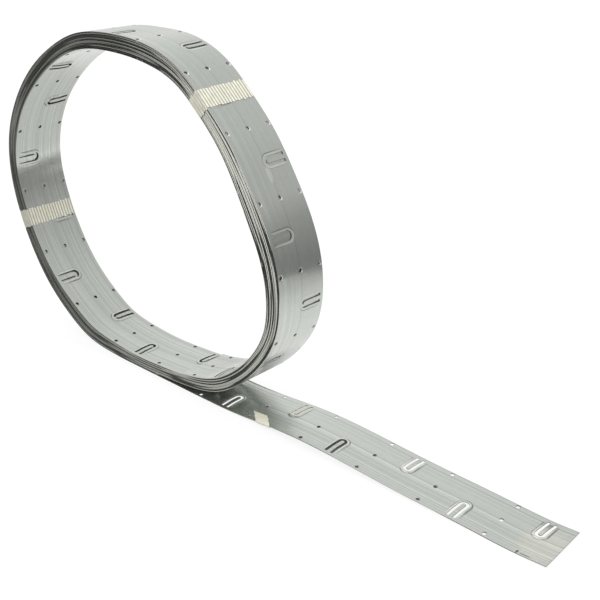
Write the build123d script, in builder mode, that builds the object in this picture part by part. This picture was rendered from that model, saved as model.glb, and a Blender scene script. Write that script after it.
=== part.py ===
import math
import os

from build123d import *

# Steel strip
strip_width = 42.0
strip_thickness = 0.5

# Coil outline seen along its axis: a sagged oval, drawn as eight corners with large bends
coil_width = 301.6
coil_height = 255.0
floor_left_share = 0.248
left_low_share = 0.326
left_high_share = 0.675
top_left_share = 0.275
top_right_share = 0.722
right_high_share = 0.532
right_low_share = 0.245
floor_right_share = 0.753
bend_reach_share = 0.48

# Turns: they lie tight on the left and underneath, and loose on the right and on top
turn_count = 12
tight_pitch = 0.77
loose_pitch = 1.02
edge_stagger = 0.5
turns_per_stagger = 4

# Tail: the outer end of the strip, run out along the floor in a low arch
tail_reach = 361.0
lift_off_reach = 98.0
arch_rise = 5.7
arch_place_share = 0.28
tail_flick_length = 23.0
tail_end_rise = 1.3
tail_end_slant = 2.6
tail_bend_share = 0.2

# Punching along the strip: rows of three nail holes, with a cable tongue midway between rows
row_pitch = 50.0
end_to_first_row = 44.3
tail_row_count = 6
floor_to_coil_tongue = 83.9
coil_tongue_count = 15
hole_radius = 1.4
hole_margin = 2.5
tongue_length = 18.0
tongue_width = 2.8
slot_width = 2.1
tongue_root_margin = 2.5
through_overrun = 1.0

# Strapping tape
tape_width = 14.5
tape_thickness = 0.4
tape_slack = 0.1
upper_tape_share = 0.602
left_tape_share = 0.202
scrap_reach = 133.3
scrap_length = 13.5
scrap_depth = 10.5
scrap_slant = 12.5
scrap_lip = 1.2

half_width = strip_width / 2
touch_down_reach = tail_reach - tail_flick_length
arch_reach = lift_off_reach + arch_place_share * (touch_down_reach - lift_off_reach)
end_to_first_tongue = end_to_first_row - row_pitch / 2
turn_corner_shares = (
    (floor_left_share, 0),
    (0, left_low_share),
    (0, left_high_share),
    (top_left_share, 1),
    (top_right_share, 1),
    (1, right_high_share),
    (1, right_low_share),
    (floor_right_share, 0),
)


def bend_radius(before, corner, after, reach_share):
    """Radius of a bend at a corner that reaches a share along the shorter of its two sides."""
    back = before - corner
    onward = after - corner
    half_turn = math.radians(180 - back.get_angle(onward)) / 2
    return reach_share * min(back.length, onward.length) / math.tan(half_turn)


def turn_outline(turns_in, grow=0):
    """Path of the turn that lies turns_in from the outside, from mid floor up the left and round."""
    left = -coil_width / 2 + turns_in * tight_pitch - grow
    right = coil_width / 2 - turns_in * loose_pitch + grow
    bottom = turns_in * tight_pitch - grow
    top = coil_height - turns_in * loose_pitch + grow
    corners = [
        Vector(left + across * (right - left), bottom + up * (top - bottom))
        for across, up in turn_corner_shares
    ]
    followers = corners[1:] + corners[:1]
    radii = [
        bend_radius(corners[i - 1], corners[i], followers[i], bend_reach_share)
        for i in range(len(corners))
    ]
    path = [(0, bottom)] + [(corner.X, corner.Y) for corner in corners]
    return FilletPolyline(*path, radius=[0, *radii], close=True)


def turn_ring(outer_turns, inner_turns, outer_grow=0, inner_grow=0):
    """Flat ring between two turns of the coil, in the plane across the coil's axis."""
    with BuildSketch(Plane.XZ) as ring:
        with BuildLine():
            turn_outline(outer_turns, outer_grow)
        make_face()
        with BuildLine():
            turn_outline(inner_turns, inner_grow)
        make_face(mode=Mode.SUBTRACT)
    return ring.sketch


def tail_path(height):
    """Low arch of the tail's lengthwise section, raised by a height above its underside."""
    points = [
        Vector(0, height),
        Vector(lift_off_reach, height),
        Vector(arch_reach, arch_rise + height),
        Vector(touch_down_reach, height),
        Vector(tail_reach, tail_end_rise + height),
    ]
    radii = [bend_radius(*points[i : i + 3], tail_bend_share) for i in range(len(points) - 2)]
    return FilletPolyline(*[(point.X, point.Y) for point in points], radius=radii)


def tail_band(low, high):
    """Lengthwise section of a layer on the tail, between two heights above its underside."""
    with BuildSketch(Plane.XZ) as band:
        with BuildLine():
            under = tail_path(low)
            over = tail_path(high)
            Line(under @ 0, over @ 0)
            Line(under @ 1, over @ 1)
        make_face()
    return band.sketch


def slant_end():
    """Trims the tail's end at a slant, so that its far edge stops short of its near edge."""
    beyond = tail_reach + through_overrun
    with BuildSketch() as trim:
        with BuildLine():
            Polyline(
                (tail_reach, -half_width),
                (tail_reach - tail_end_slant, half_width),
                (beyond, half_width),
                (beyond, -half_width),
                close=True,
            )
        make_face()
    extrude(trim.sketch, amount=coil_height, both=True, mode=Mode.SUBTRACT)


def plane_on_coil(distance):
    """Plane on the outermost turn, a distance on from mid floor, its X along the strip, Z outwards."""
    place = (mid_floor_place + distance / outer_turn.length) % 1
    spot = outer_turn @ place
    along = outer_turn % place
    return Plane(origin=spot, x_dir=along, z_dir=along.cross(Vector(0, 1, 0)))


def plane_on_tail(distance):
    """Level plane at the tail's underside, a distance from its end, its Z pointing down."""
    spot = tail_underside.position_at(tail_length - distance, position_mode=PositionMode.LENGTH)
    return Plane(origin=spot, x_dir=(-1, 0, 0), z_dir=(0, 0, -1))


def tongue_slots(planes, depth):
    """U-shaped slots round the tongues, each rooted at its plane's +Y edge of the strip."""
    bend = (tongue_width + slot_width) / 2
    root = half_width - tongue_root_margin
    tip = root - tongue_length + bend + slot_width / 2
    with BuildSketch(*[plane.offset(through_overrun) for plane in planes]) as slots:
        with BuildLine():
            Line((bend, root), (bend, tip))
            ThreePointArc((bend, tip), (0, tip - bend), (-bend, tip))
            Line((-bend, tip), (-bend, root))
        trace(line_width=slot_width)
    extrude(slots.sketch, amount=-through_overrun - depth, mode=Mode.SUBTRACT)


def hole_rows(planes, depth):
    """Rows of three nail holes across the strip, a margin in from its edges."""
    with Locations(*[plane.offset(through_overrun) for plane in planes]):
        with GridLocations(row_pitch, half_width - hole_margin, 1, 3):
            Hole(radius=hole_radius, depth=through_overrun + depth)


def tape_band(place_share):
    """Band of tape round the wound turns, placed by its share of the outermost turn's length."""
    slab = plane_on_coil(place_share * outer_turn.length)
    reach = turn_count * loose_pitch + half_width
    inside = turn_ring(0, turn_count, tape_slack, -tape_slack)
    outside = turn_ring(0, turn_count, tape_slack + tape_thickness, -tape_slack - tape_thickness)
    with BuildPart() as band:
        extrude(outside, amount=half_width + tape_slack + tape_thickness, both=True)
        extrude(inside, amount=half_width + tape_slack, both=True, mode=Mode.SUBTRACT)
        with Locations(slab):
            Box(tape_width, 2 * strip_width, 2 * reach, mode=Mode.INTERSECT)
    return band.part


with BuildLine(Plane.XZ) as outer_line:
    turn_outline(0)
outer_turn = outer_line.wire()
mid_floor_place = outer_turn.param_at_point(Vector(0, 0, 0))
with BuildLine(Plane.XZ) as tail_line:
    tail_path(0)
tail_underside = tail_line.wire()
tail_length = tail_underside.length

tail_rows = [plane_on_tail(end_to_first_row + i * row_pitch) for i in range(tail_row_count)]
tail_tongues = [
    plane_on_tail(end_to_first_tongue + i * row_pitch).rotated((0, 0, 180 * (i % 2)))
    for i in range(tail_row_count)
]
coil_tongues = [
    plane_on_coil(floor_to_coil_tongue + i * row_pitch).rotated((0, 0, 180 * (i % 2)))
    for i in range(coil_tongue_count)
]

# The wound turns with their bore, the staggered edges of the turns on both ends, and the tail
with BuildPart() as strip_coil:
    extrude(turn_ring(0, turn_count), amount=half_width, both=True)
    for turn in range(1, turn_count, turns_per_stagger):
        set_back = turn_ring(turn, turn + 1)
        for end in (half_width, edge_stagger - half_width):
            with BuildSketch(Plane.XZ.offset(end)):
                add(Plane.XZ.to_local_coords(set_back))
            extrude(amount=-edge_stagger, mode=Mode.SUBTRACT)
    extrude(tail_band(0, strip_thickness), amount=half_width, both=True)
    slant_end()
    hole_rows(tail_rows, strip_thickness + through_overrun)
    tongue_slots(tail_tongues, strip_thickness + through_overrun)
    tongue_slots(coil_tongues, strip_thickness)

# Two bands of strapping tape hold the turns together
with BuildPart() as tape_band_upper:
    add(tape_band(upper_tape_share))
with BuildPart() as tape_band_left:
    add(tape_band(left_tape_share))

# Torn scrap of the same tape, folded over the near edge of the tail
with BuildPart() as tape_scrap:
    lip_foot = strip_thickness - scrap_lip
    lap = half_width + tape_slack
    lap_outside = lap + tape_thickness
    scrap_top = strip_thickness + tape_slack + tape_thickness
    extrude(tail_band(lip_foot, scrap_top), amount=lap_outside, both=True)
    extrude(
        tail_band(lip_foot - through_overrun, strip_thickness + tape_slack),
        amount=lap,
        both=True,
        mode=Mode.SUBTRACT,
    )
    near_left = scrap_reach - scrap_length / 2
    near_right = scrap_reach + scrap_length / 2
    with BuildSketch():
        with BuildLine():
            Polyline(
                (near_left, -lap_outside),
                (near_right, -lap_outside),
                (near_right - scrap_slant, scrap_depth - half_width),
                (near_left - scrap_slant, scrap_depth - half_width),
                close=True,
            )
        make_face()
    extrude(amount=coil_height, both=True, mode=Mode.INTERSECT)

os.makedirs("parts", exist_ok=True)
strip_coil.part.label = "strip_coil"
tape_band_upper.part.label = "tape_band_upper"
tape_band_left.part.label = "tape_band_left"
tape_scrap.part.label = "tape_scrap"
export_step(strip_coil.part, "parts/strip_coil.step")
export_step(tape_band_upper.part, "parts/tape_band_upper.step")
export_step(tape_band_left.part, "parts/tape_band_left.step")
export_step(tape_scrap.part, "parts/tape_scrap.step")
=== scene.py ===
"""Looks of a coil of punched fixing strip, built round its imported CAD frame."""

import math

import bpy
import numpy as np
from bpy.props import FloatProperty, FloatVectorProperty, IntProperty, PointerProperty
from bpy.types import Operator, Panel, PropertyGroup
from mathutils import Matrix, Vector


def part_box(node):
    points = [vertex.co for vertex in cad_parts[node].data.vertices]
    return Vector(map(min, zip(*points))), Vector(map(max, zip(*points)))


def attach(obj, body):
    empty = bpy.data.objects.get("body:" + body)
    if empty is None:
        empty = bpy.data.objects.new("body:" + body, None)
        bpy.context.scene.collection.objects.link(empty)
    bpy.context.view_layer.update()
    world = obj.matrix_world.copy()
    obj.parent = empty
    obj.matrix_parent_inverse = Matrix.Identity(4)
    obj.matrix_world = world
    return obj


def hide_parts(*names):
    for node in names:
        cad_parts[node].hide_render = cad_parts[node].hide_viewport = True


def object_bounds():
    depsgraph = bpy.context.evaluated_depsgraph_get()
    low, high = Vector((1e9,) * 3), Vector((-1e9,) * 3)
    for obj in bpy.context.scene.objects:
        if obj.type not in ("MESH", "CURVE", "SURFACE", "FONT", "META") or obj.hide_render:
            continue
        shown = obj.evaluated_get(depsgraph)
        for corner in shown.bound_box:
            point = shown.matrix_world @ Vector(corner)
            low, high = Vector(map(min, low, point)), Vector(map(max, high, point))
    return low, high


bl_info = {
    "name": "Coil of fixing strip",
    "version": (1, 0, 0),
    "blender": (4, 5, 0),
    "location": "3D View > Sidebar > Coil",
    "description": "Builds a wound, punched steel strip with its tape bands and a plain studio",
    "category": "Object",
}

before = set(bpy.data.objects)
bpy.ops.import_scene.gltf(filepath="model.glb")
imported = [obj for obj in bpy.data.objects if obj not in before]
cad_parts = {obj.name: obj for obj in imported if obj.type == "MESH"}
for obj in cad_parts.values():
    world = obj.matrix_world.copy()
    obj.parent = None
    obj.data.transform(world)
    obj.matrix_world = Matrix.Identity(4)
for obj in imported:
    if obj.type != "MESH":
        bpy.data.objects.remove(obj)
cad_low, cad_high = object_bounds()
strip_low, strip_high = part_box("strip_coil")

MM = 0.001
WELD = 0.001 * MM
WHITE = (1, 1, 1, 1)
BLACK = (0, 0, 0, 1)

# First turn's outer face and the depth of the wound pack under it, in millimetres: x, z, depth.
# It starts at mid floor and runs up the left, over the top and down the right.
OUTLINE = MM * np.array(
    [
        (0, 0, 9.1),
        (-36, 0.8, 10.6),
        (-62, 4.6, 12.2),
        (-87, 17.3, 13.0),
        (-111, 37, 12.6),
        (-133.5, 69.4, 11.5),
        (-147, 104, 10.6),
        (-150.5, 128, 9.6),
        (-147, 156.3, 9.9),
        (-132.9, 186.0, 10.2),
        (-108.6, 214.4, 11.2),
        (-80.2, 235.0, 10.8),
        (-48.2, 249.5, 11.5),
        (-8, 254.8, 12.6),
        (33.2, 251.9, 13),
        (60.6, 241.8, 11.8),
        (86.8, 220.8, 11),
        (107.9, 198.8, 11.9),
        (123, 177, 13.4),
        (135.2, 156.5, 14.6),
        (146.4, 130, 14),
        (150.6, 100, 12.8),
        (146.4, 73.6, 11.4),
        (132.4, 48.7, 10.2),
        (112.5, 27.6, 10),
        (87.4, 11, 10.4),
        (58, 3.8, 9.4),
        (30, 1.6, 8.8),
    ]
)

# Underside of the tail in millimetres, from its free end to mid floor: x, z.
TAIL = MM * np.array(
    [
        (360.9, 1.2),
        (340, 0.1),
        (317, 0.5),
        (290, 1.3),
        (254, 2.0),
        (216, 3.6),
        (172, 5.0),
        (148, 4.2),
        (122, 2.0),
        (96, 0.3),
        (60, 0),
        (0, 0),
    ]
)

# The winding, in turns from mid floor: where each turn sinks to the next, where turns start to bunch and
# drift and stop short of the inner end, and where the gap under the first turn opens and closes.
SINKING = (0.7, 1.0)
BUNCHED_FROM = (0.8, 1.6)
FREE_AT_END = 0.4
GAP_OPENS = (0.85, 1.05)
GAP_CLOSES = (2, 4)
GAP_SHARE = 0.08

# The lean, in metres: heights over which it comes in, reach to the right over which it fades, and the
# part of the top that it pulls down.
LEAN_HEIGHTS = (0.01, 0.07)
LEAN_FADE = (0, 0.1)
LEAN_ON_RIGHT = 0.4
LEAN_TOP_HEIGHTS = (0.2, 0.245)
LEAN_TOP_REACH = (-0.035, 0.01)

# Mesh steps: of the tail and of a turn, of a rib of tape, along a band of tape, and round a hole.
TAIL_STEPS = 600
TURN_STEPS = 1200
RIB_STEPS = 10
BAND_STEPS = 15
HOLE_STEPS = 16

# Shares of a bead's width, from the slot to its foot: of the mesh's rings, of the end of its crown, and of
# its painted tones, where 1 is painted shade in the crease at its foot and -1 a painted highlight on its
# crown.
BEAD_RINGS = np.array([0, 0.3, 0.45, 0.6, 0.75, 0.9, 1])
BEAD_CROWN = 0.45
BEAD_PAINTED_SHADE = np.array([(0, -0.2), (0.45, -0.3), (0.6, -0.2), (0.75, 0.1), (0.9, 1), (1, 0)])

# Rows of holes in the bore that lie stretched, and rows after them, before the last one.
BORE_ROWS = 8
END_ROWS = 7

# Marks on the flat strip, in metres: centre and reach, both along from the tail's end and across.
STAIN = ((0.012, -0.004), (0.018, 0.02))
TEAR = ((0.0208, -0.0191), (0.0009, 0.002))
# The crease mark is painted shade: a dark line where the fold is shaded.
CREASE_SHADE = ((0.0155, -0.0195), (0.005, 0.0005))
SCUFF = ((0.953, -0.0005), (0.007, 0.0022))

# Cards that only reflections show, in metres: corners, the way in which the glow changes, the places that
# way where it starts and stops changing, and the glow at both. They are painted reflections of a dimmer
# studio behind the coil and beyond the tail, and painted shadow on the floor behind the coil, beside its
# lower right and by the tail.
CARDS = {
    # Painted reflection of a dimmer studio behind the coil.
    "card_behind": (
        (
            (0.08, 0.173, 0.02),
            (1.2, 0.442, 0.05),
            (1.2, 0.442, 0.34),
            (0.34, 0.236, 0.3),
            (0.27, 0.219, 0.12),
            (0.08, 0.173, 0.07),
        ),
        (0, 0, 1),
        (0.0, 0.3),
        (0.11, 0.37),
    ),
    # Painted shadow of the coil on the floor behind it, seen only in reflections.
    "shadow_card_on_floor": (
        ((-0.25, 0.03, 0.001), (0.1, 0.03, 0.001), (0.1, 0.17, 0.001), (-0.25, 0.17, 0.001)),
        (0, 0, 1),
        (0.0, 0.3),
        (0.8, 0.8),
    ),
    # Painted reflection of a floor that dims beyond the tail.
    "card_beyond_tail": (
        ((0.145, 0.149, 0.001), (0.235, 0.017, 0.001), (0.595, 0.26, 0.001), (0.505, 0.392, 0.001)),
        (0.83, 0.56, 0),
        (0.24, 0.48),
        (1.0, 0.6),
    ),
    # Painted shade beside the coil's lower right, seen only in reflections.
    "shade_card_by_coil": (
        (
            (0.06, 0.03, 0.0115),
            (0.0985, 0.03, 0.0115),
            (0.13, 0.03, 0.036),
            (0.1, 0.03, 0.036),
            (0.075, 0.03, 0.02),
        ),
        (1, 0, -1.3),
        (0.0435, 0.0835),
        (0.12, 0.88),
    ),
    # Painted shadow on the floor by the tail next to the coil, seen only in reflections.
    "shadow_card_by_tail": (
        ((0.04, 0.0215, 0.002), (0.125, 0.0215, 0.002), (0.125, 0.06, 0.002), (0.04, 0.06, 0.002)),
        (0.3, 1, 0),
        (0.045, 0.09),
        (0.2, 0.95),
    ),
}


def length_property(name, description, default):
    """A property that holds a length."""
    return FloatProperty(name=name, description=description, default=default, unit="LENGTH")


def share_property(name, description, default):
    """A property that holds a share of something else."""
    return FloatProperty(name=name, description=description, default=default, subtype="FACTOR")


def colour_property(name, description, default):
    """A property that holds a colour."""
    return FloatVectorProperty(name=name, description=description, default=default, subtype="COLOR")


def place_property(name, description, default):
    """A property that holds a place."""
    return FloatVectorProperty(name=name, description=description, default=default, subtype="TRANSLATION")


def angle_property(name, description, degrees):
    """A property that holds an angle, from its default in degrees."""
    default = math.radians(degrees)
    return FloatProperty(name=name, description=description, default=default, subtype="ANGLE")


class StripSettings(PropertyGroup):
    """Sizes of the punched strip and the way it is wound."""

    thickness: length_property("Thickness", "Thickness of the strip", 0.5 * MM)
    half_width: length_property(
        "Half width", "Half of the strip's width", (strip_high.y - strip_low.y) / 2
    )
    edge_burr: length_property(
        "Edge burr", "How far the slit edges of the hidden turns stand proud of each face", 0.1 * MM
    )
    turns: IntProperty(name="Turns", description="Number of wound turns", default=12, min=3)
    end_gap: length_property(
        "Inner end", "How far short of mid floor the inner end of the strip stops", 50 * MM
    )
    bunching: share_property(
        "Bunching", "How far neighbouring turns close up in pairs, as a share of their spare room", 0.34
    )
    drift: length_property(
        "Drift", "How far turns lie off to the near side outermost, and to the far side in the bore", 0.3 * MM
    )
    lean: length_property("Lean", "How far the far side of the coil leans over to the right", 1.2 * MM)
    end_slant: length_property(
        "End slant", "How far the far edge of the tail stops short of its near edge", 2.6 * MM
    )
    row_pitch: length_property("Row pitch", "Distance between rows of nail holes", 50 * MM)
    hole_radius: length_property("Hole radius", "Radius of a nail hole", 1.4 * MM)
    hole_margin: length_property(
        "Hole margin", "Distance from the strip's edge to the outer holes and to a tongue's root", 2.5 * MM
    )
    hole_dimple: length_property(
        "Hole dimple", "How far the rim of a hole is pressed towards the bore", 0.14 * MM
    )
    tongue_length: length_property("Tongue length", "Length of the slot round a cable tongue", 18 * MM)
    tongue_width: length_property("Tongue width", "Width of a cable tongue", 2.8 * MM)
    slot_width: length_property("Slot width", "Width of the slot round a tongue", 2.1 * MM)
    bead_width: length_property("Bead width", "Width of the raised bead outside a slot", 2.3 * MM)
    bead_height: length_property("Bead height", "Rise of the bead towards the bore", 0.7 * MM)
    wound_press: share_property(
        "Wound press", "Depth of beads and rims on the outermost turn, as a share of those on the tail", 0.36
    )
    tail_first_tongue: length_property(
        "First tongue on the tail", "Distance from the strip's outer end to its first tongue", 19.3 * MM
    )
    coil_first_row: length_property(
        "First row on the coil", "Distance from mid floor to the first row on the outermost turn", 57.9 * MM
    )
    bore_first_row: length_property(
        "First row in the bore", "Distance back from mid floor to the first row seen in the bore", 20.4 * MM
    )
    bore_stretch: share_property(
        "Stretch in the bore", "Row pitch in the bore, as a share of the pitch on the tail", 1.0344
    )
    end_row: length_property(
        "Last row", "Distance from the strip's inner end to its last row of holes", 11 * MM
    )


class TapeSettings(PropertyGroup):
    """Sizes of the ribbed tape that holds the turns together."""

    width: length_property("Width", "Width of a band of tape", 14.5 * MM)
    thickness: length_property("Thickness", "Thickness of the tape between ribs", 0.1 * MM)
    slack: length_property("Slack", "Gap between the tape and the strip", 0.1 * MM)
    lead: length_property(
        "Lead", "How far the bands sit past their places in the frame, along the strip", 0.7 * MM
    )
    rib_pitch: length_property("Rib pitch", "Distance between ribs", 2.5 * MM)
    rib_height: length_property("Rib height", "Height of a rib", 0.2 * MM)
    upper_clear: share_property(
        "Clear film, upper band", "How far the upper band's ribs fade out on its near and far end", 0.2
    )
    left_clear: share_property(
        "Clear film, left band", "How far the left band's ribs fade out on its near and far end", 0.65
    )
    fray: length_property("Fray", "How far the torn ends wander", 0.45 * MM)
    scrap_width: length_property("Scrap width", "Width of the torn scrap on the tail", 13.5 * MM)
    scrap_depth: length_property(
        "Scrap depth", "How far the scrap reaches in from the tail's edge", 10.5 * MM
    )
    scrap_slant: length_property("Scrap slant", "Sideways lean of the scrap across its depth", 12.5 * MM)
    scrap_lip: length_property("Scrap lip", "How far the scrap folds down over the edge", 1.0 * MM)
    scrap_flare: length_property(
        "Scrap flare", "How far the foot of the folded lip stands out from the edge", 0.25 * MM
    )
    scrap_place: length_property("Scrap place", "Distance from the tail's free end to the scrap", 228 * MM)
    crumple: length_property("Crumple", "Height of the creases in the scrap", 0.08 * MM)
    film_tongue: IntProperty(
        name="Film tongue",
        description="Number of the tongue on the tail, from its free end, that has tape left under it",
        default=5,
        min=1,
    )
    film_width: length_property("Film width", "Width of the tape left under a tongue", 10 * MM)


class FinishSettings(PropertyGroup):
    """Colours and gloss of the strip and its tape."""

    steel: colour_property("Steel", "Colour of the galvanised faces", (0.603, 0.632, 0.588))
    # The two cut-edge colours are painted shade and painted highlight; the light one is also the painted
    # highlight on hole rims and bead crowns.
    edge_dark: colour_property(
        "Dark cut edge", "Colour of the cut edges in the shade of their neighbours", (0.05, 0.053, 0.046)
    )
    edge_light: colour_property(
        "Light cut edge", "Colour of the cut edges that stand out and catch the light", (0.82, 0.83, 0.76)
    )
    roughness: share_property("Roughness", "Roughness of the galvanised faces", 0.2)
    rib: colour_property("Tape rib", "Colour of the tape's ribs", (0.87, 0.85, 0.71))
    groove: colour_property("Tape groove", "Colour of the tape between its ribs", (0.38, 0.38, 0.31))


class StageSettings(PropertyGroup):
    """Camera, floor and light."""

    camera_place: place_property("Camera place", "Where the camera stands", (0.6107, -0.4984, 0.4092))
    camera_azimuth: angle_property(
        "Camera azimuth", "Turn of the camera round the coil, from straight in front", 42.81
    )
    camera_elevation: angle_property("Camera elevation", "Height of the camera above the horizon", 24.71)
    lens: FloatProperty(name="Lens", description="Focal length in millimetres", default=67.25)
    floor_white: share_property(
        "Floor white", "Share of the floor's brightness that shadows can't take", 0.84
    )
    sky_light: FloatProperty(
        name="Sky light", description="Strength of the even light from all round", default=1.1
    )
    lamp_power: FloatProperty(
        name="Lamp power", description="Power of the soft lamp overhead", default=9.0, subtype="POWER"
    )
    lamp_size: length_property("Lamp size", "Width of the soft lamp", 1.6)
    lamp_place: place_property("Lamp place", "Where the soft lamp hangs", (-0.5, 0.1, 1.5))
    lamp_aim: place_property("Lamp aim", "Where the soft lamp points", (0.05, 0, 0.1))


def smooth_step(low, high, value):
    """Rises from 0 at low to 1 at high along 3t^2 - 2t^3."""
    share = np.clip((value - low) / (high - low), 0, 1)
    return share * share * (3 - 2 * share)


def smooth_curve(points, closed):
    """Cubic spline through rows of points, by distance along their first two columns.

    Each stretch is the cubic whose bend runs straight between the bends at its ends, and the bends are
    the ones that leave the slope unbroken at every point. An open curve has no bend at its two ends.
    Returns the function of distance and the whole length.
    """
    points = np.vstack([points, points[:1]]) if closed else points
    steps = np.diff(points, axis=0)
    spans = np.linalg.norm(steps[:, :2], axis=1)
    places = np.concatenate([[0], np.cumsum(spans)])
    slopes = steps / spans[:, None]
    last = len(points) - 1
    inner = np.arange(1, last)
    matrix = np.eye(last + 1)
    matrix[inner, inner - 1] = spans[:-1]
    matrix[inner, inner] = 2 * (spans[:-1] + spans[1:])
    matrix[inner, inner + 1] = spans[1:]
    change = np.zeros_like(points)
    change[inner] = 6 * np.diff(slopes, axis=0)
    if closed:
        matrix[0, [0, 1, last - 1]] = 2 * (spans[0] + spans[-1]), spans[0], spans[-1]
        change[0] = 6 * (slopes[0] - slopes[-1])
        matrix[last, 0] = -1
    bends = np.linalg.solve(matrix, change)

    def at(distance):
        stretch = np.clip(np.searchsorted(places, distance, side="right") - 1, 0, last - 1)
        span = spans[stretch][:, None]
        on = (distance - places[stretch])[:, None] / span
        off = 1 - on
        bow = (off**3 - off) * bends[stretch] + (on**3 - on) * bends[stretch + 1]
        return off * points[stretch] + on * points[stretch + 1] + bow * span**2 / 6

    return at, places[-1]


def towards_bore(along):
    """Unit normals of a line that runs clockwise, from its steps turned to the right."""
    normals = np.stack([along[:, 1], -along[:, 0]], axis=1)
    return normals / np.linalg.norm(normals, axis=1)[:, None]


def coil_face(places):
    """Outer face of the first turn, its inward normals and the pack's depth, at distances from mid floor."""
    turn_at, turn_length = smooth_curve(OUTLINE, closed=True)
    nudge = 0.05 * MM
    here = turn_at(places % turn_length)
    along = turn_at((places + nudge) % turn_length) - turn_at((places - nudge) % turn_length)
    return here[:, :2], towards_bore(along), here[:, 2]


def wind_strip(strip):
    """Middle line of the whole strip, from the tail's free end to the inner end in the bore.

    The tail follows its own curve. Every turn lies under the first one by a whole number of layers, and
    over its last part it sinks by one layer more to meet the next turn. Waves of about two turns close the
    layers up in pairs by a share of their spare room, and slower waves carry the turns sideways.
    """
    tail_at, tail_length = smooth_curve(TAIL, closed=False)
    tail = tail_at(np.linspace(0, tail_length, TAIL_STEPS + 1)[:-1])
    tail = np.maximum(tail, 0) + (0, strip.thickness / 2)

    turn_length = smooth_curve(OUTLINE, closed=True)[1]
    turned = np.arange(TURN_STEPS * strip.turns) / TURN_STEPS
    turned = turned[turned * turn_length < strip.turns * turn_length - strip.end_gap]
    share = turned % 1
    face, normals, depth = coil_face(share * turn_length)
    layer = (depth - strip.thickness) / (strip.turns - 1)
    sunk = np.floor(turned) + smooth_step(*SINKING, share)
    to_end = strip.turns - FREE_AT_END - turned
    held = smooth_step(*BUNCHED_FROM, turned) * smooth_step(0, 1, to_end)
    pairing = np.sin(math.pi * (turned - 0.2)) * (0.8 + 0.2 * np.sin(1.9 * turned))
    wave = pairing + 0.15 * np.sin(9.7 * turned + 2.0)
    spare = 1 - (strip.thickness + 2 * strip.edge_burr) / layer
    sunk = sunk + held * strip.bunching * spare * wave
    sunk = sunk + GAP_SHARE * smooth_step(*GAP_OPENS, turned) * (1 - smooth_step(*GAP_CLOSES, turned))
    coil = face + normals * (strip.thickness / 2 + layer * sunk)[:, None]
    coil[:, 1] = np.maximum(coil[:, 1], strip.thickness / 2)
    sideways = 1.7 * turned / strip.turns - 0.85 + 0.15 * np.sin(7.9 * turned + 0.3)

    line = np.concatenate([tail, coil])
    steps = np.linalg.norm(np.diff(line, axis=0), axis=1)
    run = np.concatenate([[0], np.cumsum(steps)])
    return {
        "run": run,
        "turned": np.concatenate([np.zeros(TAIL_STEPS), turned]),
        "line": line,
        "normals": towards_bore(np.gradient(line, axis=0)),
        "drift": np.concatenate([np.zeros(TAIL_STEPS), strip.drift * held * sideways]),
        "room": np.concatenate([np.ones(TAIL_STEPS), 1 - held * strip.drift / strip.half_width]),
        "turn_starts": run[TAIL_STEPS + TURN_STEPS * np.arange(strip.turns)],
    }


def on_strip(path, flat):
    """Carries flat places (along, across, towards the bore) onto the wound strip."""

    def at(values):
        return np.interp(flat[:, 0], path["run"], values)

    x = at(path["line"][:, 0]) + at(path["normals"][:, 0]) * flat[:, 2]
    y = flat[:, 1] * at(path["room"]) + at(path["drift"])
    z = at(path["line"][:, 1]) + at(path["normals"][:, 1]) * flat[:, 2]
    return np.stack([x, y, z], axis=1)


def leaned(places, strip):
    """Leans the far side of the coil over to the right, and down at the left of its top.

    The move grows evenly from nothing at the near edge. It fades by smooth steps, to nothing at the floor
    and to less than half on the right.
    """
    x, y, z = places.T
    share = strip.lean * np.clip(0.5 + y / (2 * strip.half_width), 0, 1)
    raised = smooth_step(*LEAN_HEIGHTS, z) * (1 - (1 - LEAN_ON_RIGHT) * smooth_step(*LEAN_FADE, x))
    top = smooth_step(*LEAN_TOP_HEIGHTS, z) * smooth_step(*LEAN_TOP_REACH, -x)
    return np.stack([x + share * raised, y, z - share * top], axis=1)


def grid_places(along, across):
    """Flat places of a grid, from its lines along the strip and across it."""
    return np.stack(np.meshgrid(along, across, indexing="ij"), axis=-1).reshape(-1, 2)


def grid_quads(rows, columns, wrapped=False):
    """Corner numbers of a grid's quads; a wrapped grid's last column meets its first."""
    row = np.arange(rows - 1)[:, None] * columns
    column = np.arange(columns if wrapped else columns - 1)
    after = (column + 1) % columns
    corners = [row + column, row + after, row + columns + after, row + columns + column]
    return np.stack(corners, axis=-1).reshape(-1, 4)


def mirrored(values):
    """The same values below zero, zero itself, and the values above it."""
    values = np.asarray(values)
    return np.concatenate([-values[::-1], [0], values])


def lines_across(strip):
    """Places across the strip that every cell's ends share: round the holes and at a tongue's tip."""
    kink = strip.hole_margin * math.tan(math.pi / 8)
    root = strip.half_width - strip.hole_margin
    plain = np.linspace(tongue_tip(strip), root - strip.hole_margin, 4)
    return mirrored([kink, strip.hole_margin, *plain, root - kink, root, root + kink, strip.half_width])


def lines_along(strip):
    """Places along a cell: round a hole, then evenly to the cell's ends, a quarter pitch away."""
    kink = strip.hole_margin * math.tan(math.pi / 8)
    return mirrored([kink, *np.linspace(strip.hole_margin, strip.row_pitch / 4, 4)])


def tongue_tip(strip):
    """Place across the strip of the centre of a tongue's round tip."""
    root = strip.half_width - strip.hole_margin
    return root - strip.tongue_length + strip.tongue_width / 2 + strip.slot_width


def joined(pieces):
    """One sheet from several, with places that meet welded together."""
    starts = np.cumsum([0] + [len(flat) for flat, quads in pieces])
    flat = np.concatenate([flat for flat, quads in pieces])
    quads = np.concatenate([quads + start for (_, quads), start in zip(pieces, starts)])
    keys = np.round(flat / WELD).astype(np.int64)
    _, kept, merged = np.unique(keys, axis=0, return_index=True, return_inverse=True)
    return flat[kept], merged.reshape(-1)[quads]


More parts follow.
